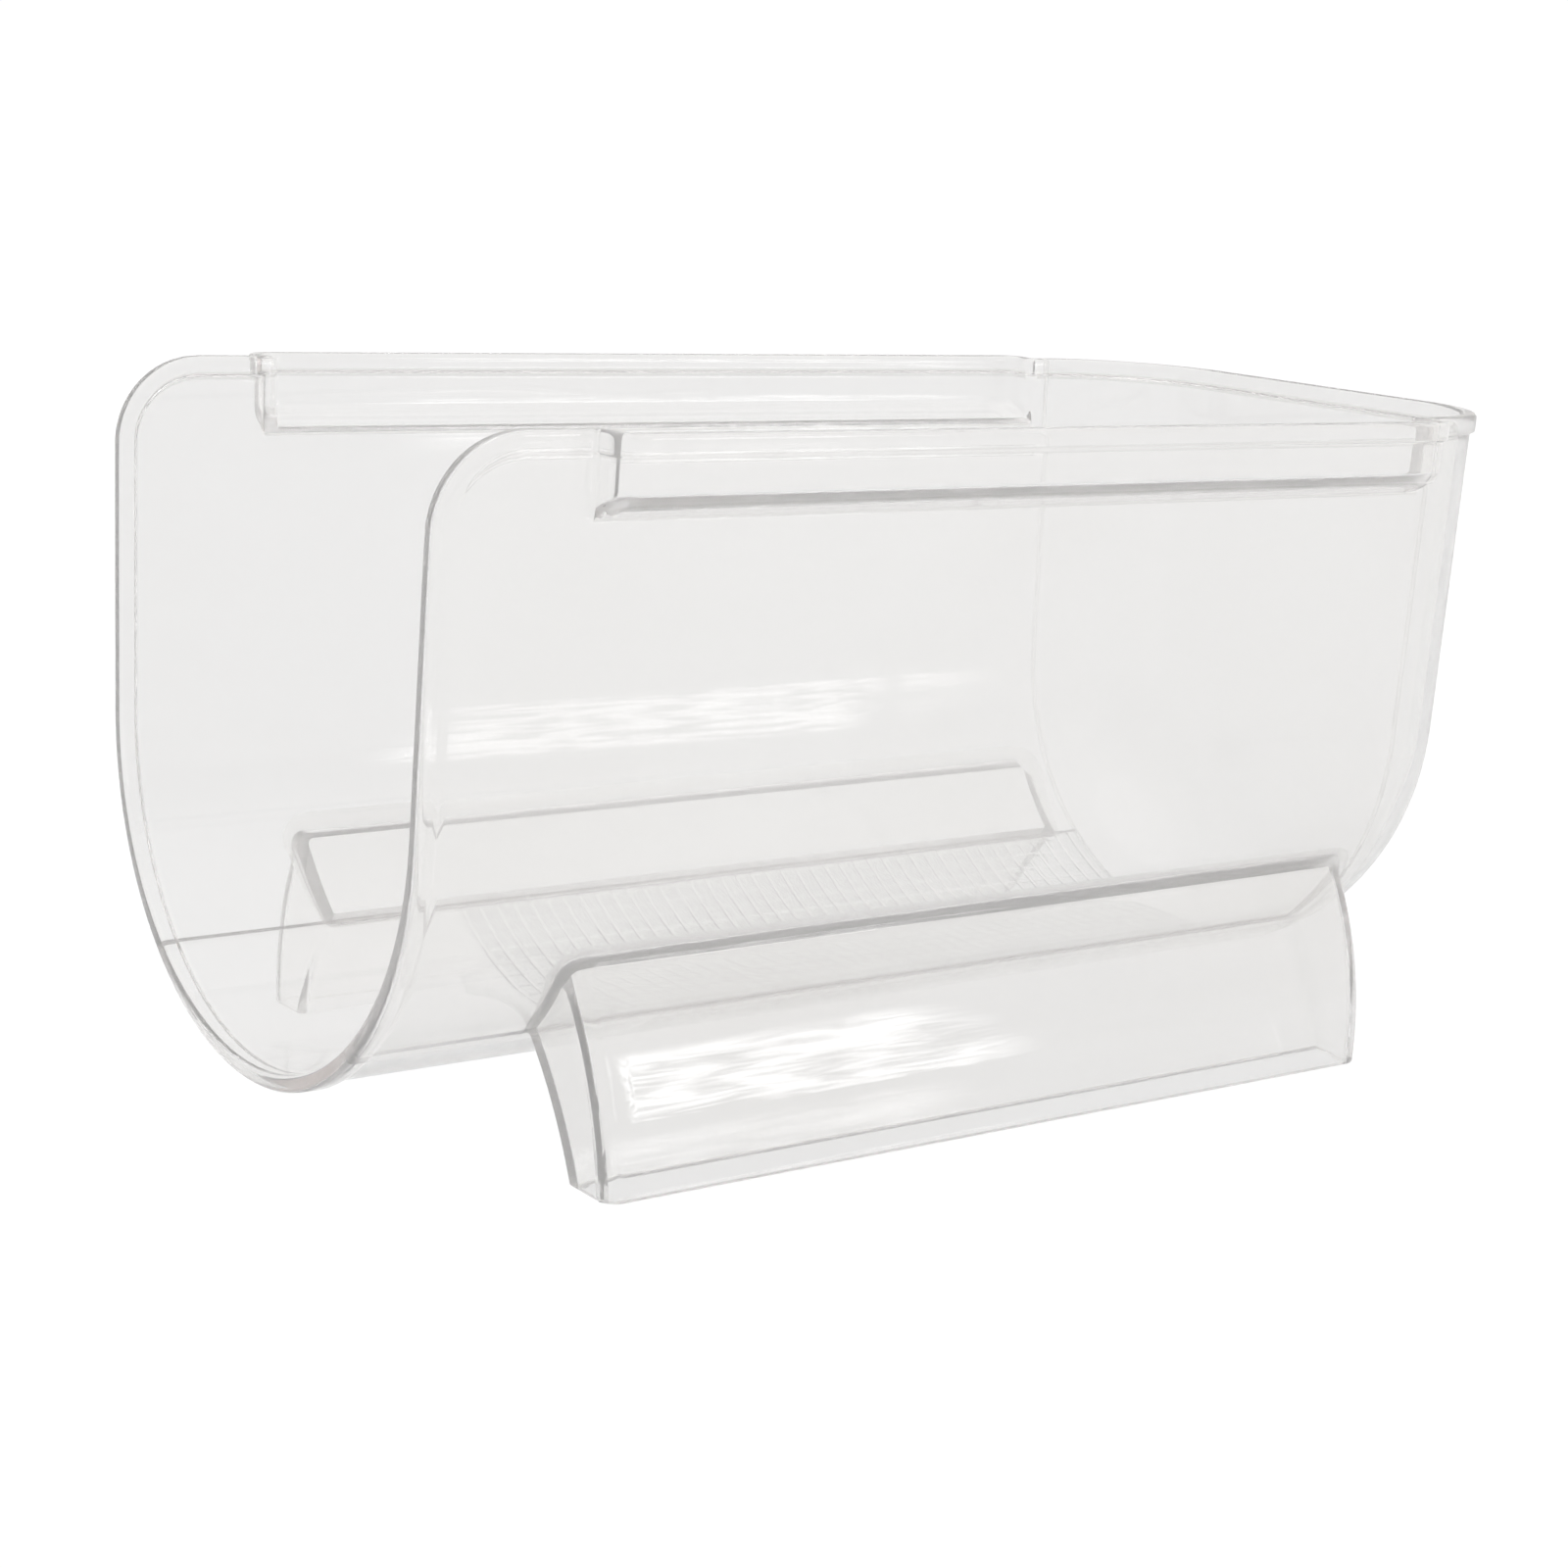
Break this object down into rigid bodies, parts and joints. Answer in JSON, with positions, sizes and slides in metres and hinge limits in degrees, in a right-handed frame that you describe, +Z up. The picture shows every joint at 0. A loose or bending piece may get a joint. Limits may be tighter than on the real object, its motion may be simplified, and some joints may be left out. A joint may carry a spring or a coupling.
{
  "type": "stackable bottle holder",
  "caption": "Clear plastic half-round trough on hollow feet, open in front and on top, with a thick rim and stepped rails along its sides for the feet of the holder above",
  "frame": {"origin": "on the ground, under the middle of the bounding box", "axes": "+X to the holder's right seen from its open front, +Y from the open front to the rear wall, +Z up"},
  "size_m": [0.1106, 0.21, 0.108],
  "materials": {
    "clear_plastic": "clear, colourless, polished"
  },
  "bodies": {
    "root": {"trough_floor": "clear_plastic", "left_side_wall": "clear_plastic", "right_side_wall": "clear_plastic", "rear_wall": "clear_plastic", "front_lip": "clear_plastic", "left_front_rim": "clear_plastic", "right_front_rim": "clear_plastic", "left_stacking_rail": "clear_plastic", "right_stacking_rail": "clear_plastic", "left_top_rim": "clear_plastic", "right_top_rim": "clear_plastic", "rear_rim": "clear_plastic", "left_foot": "clear_plastic", "right_foot": "clear_plastic"}
  },
  "joints": []
}
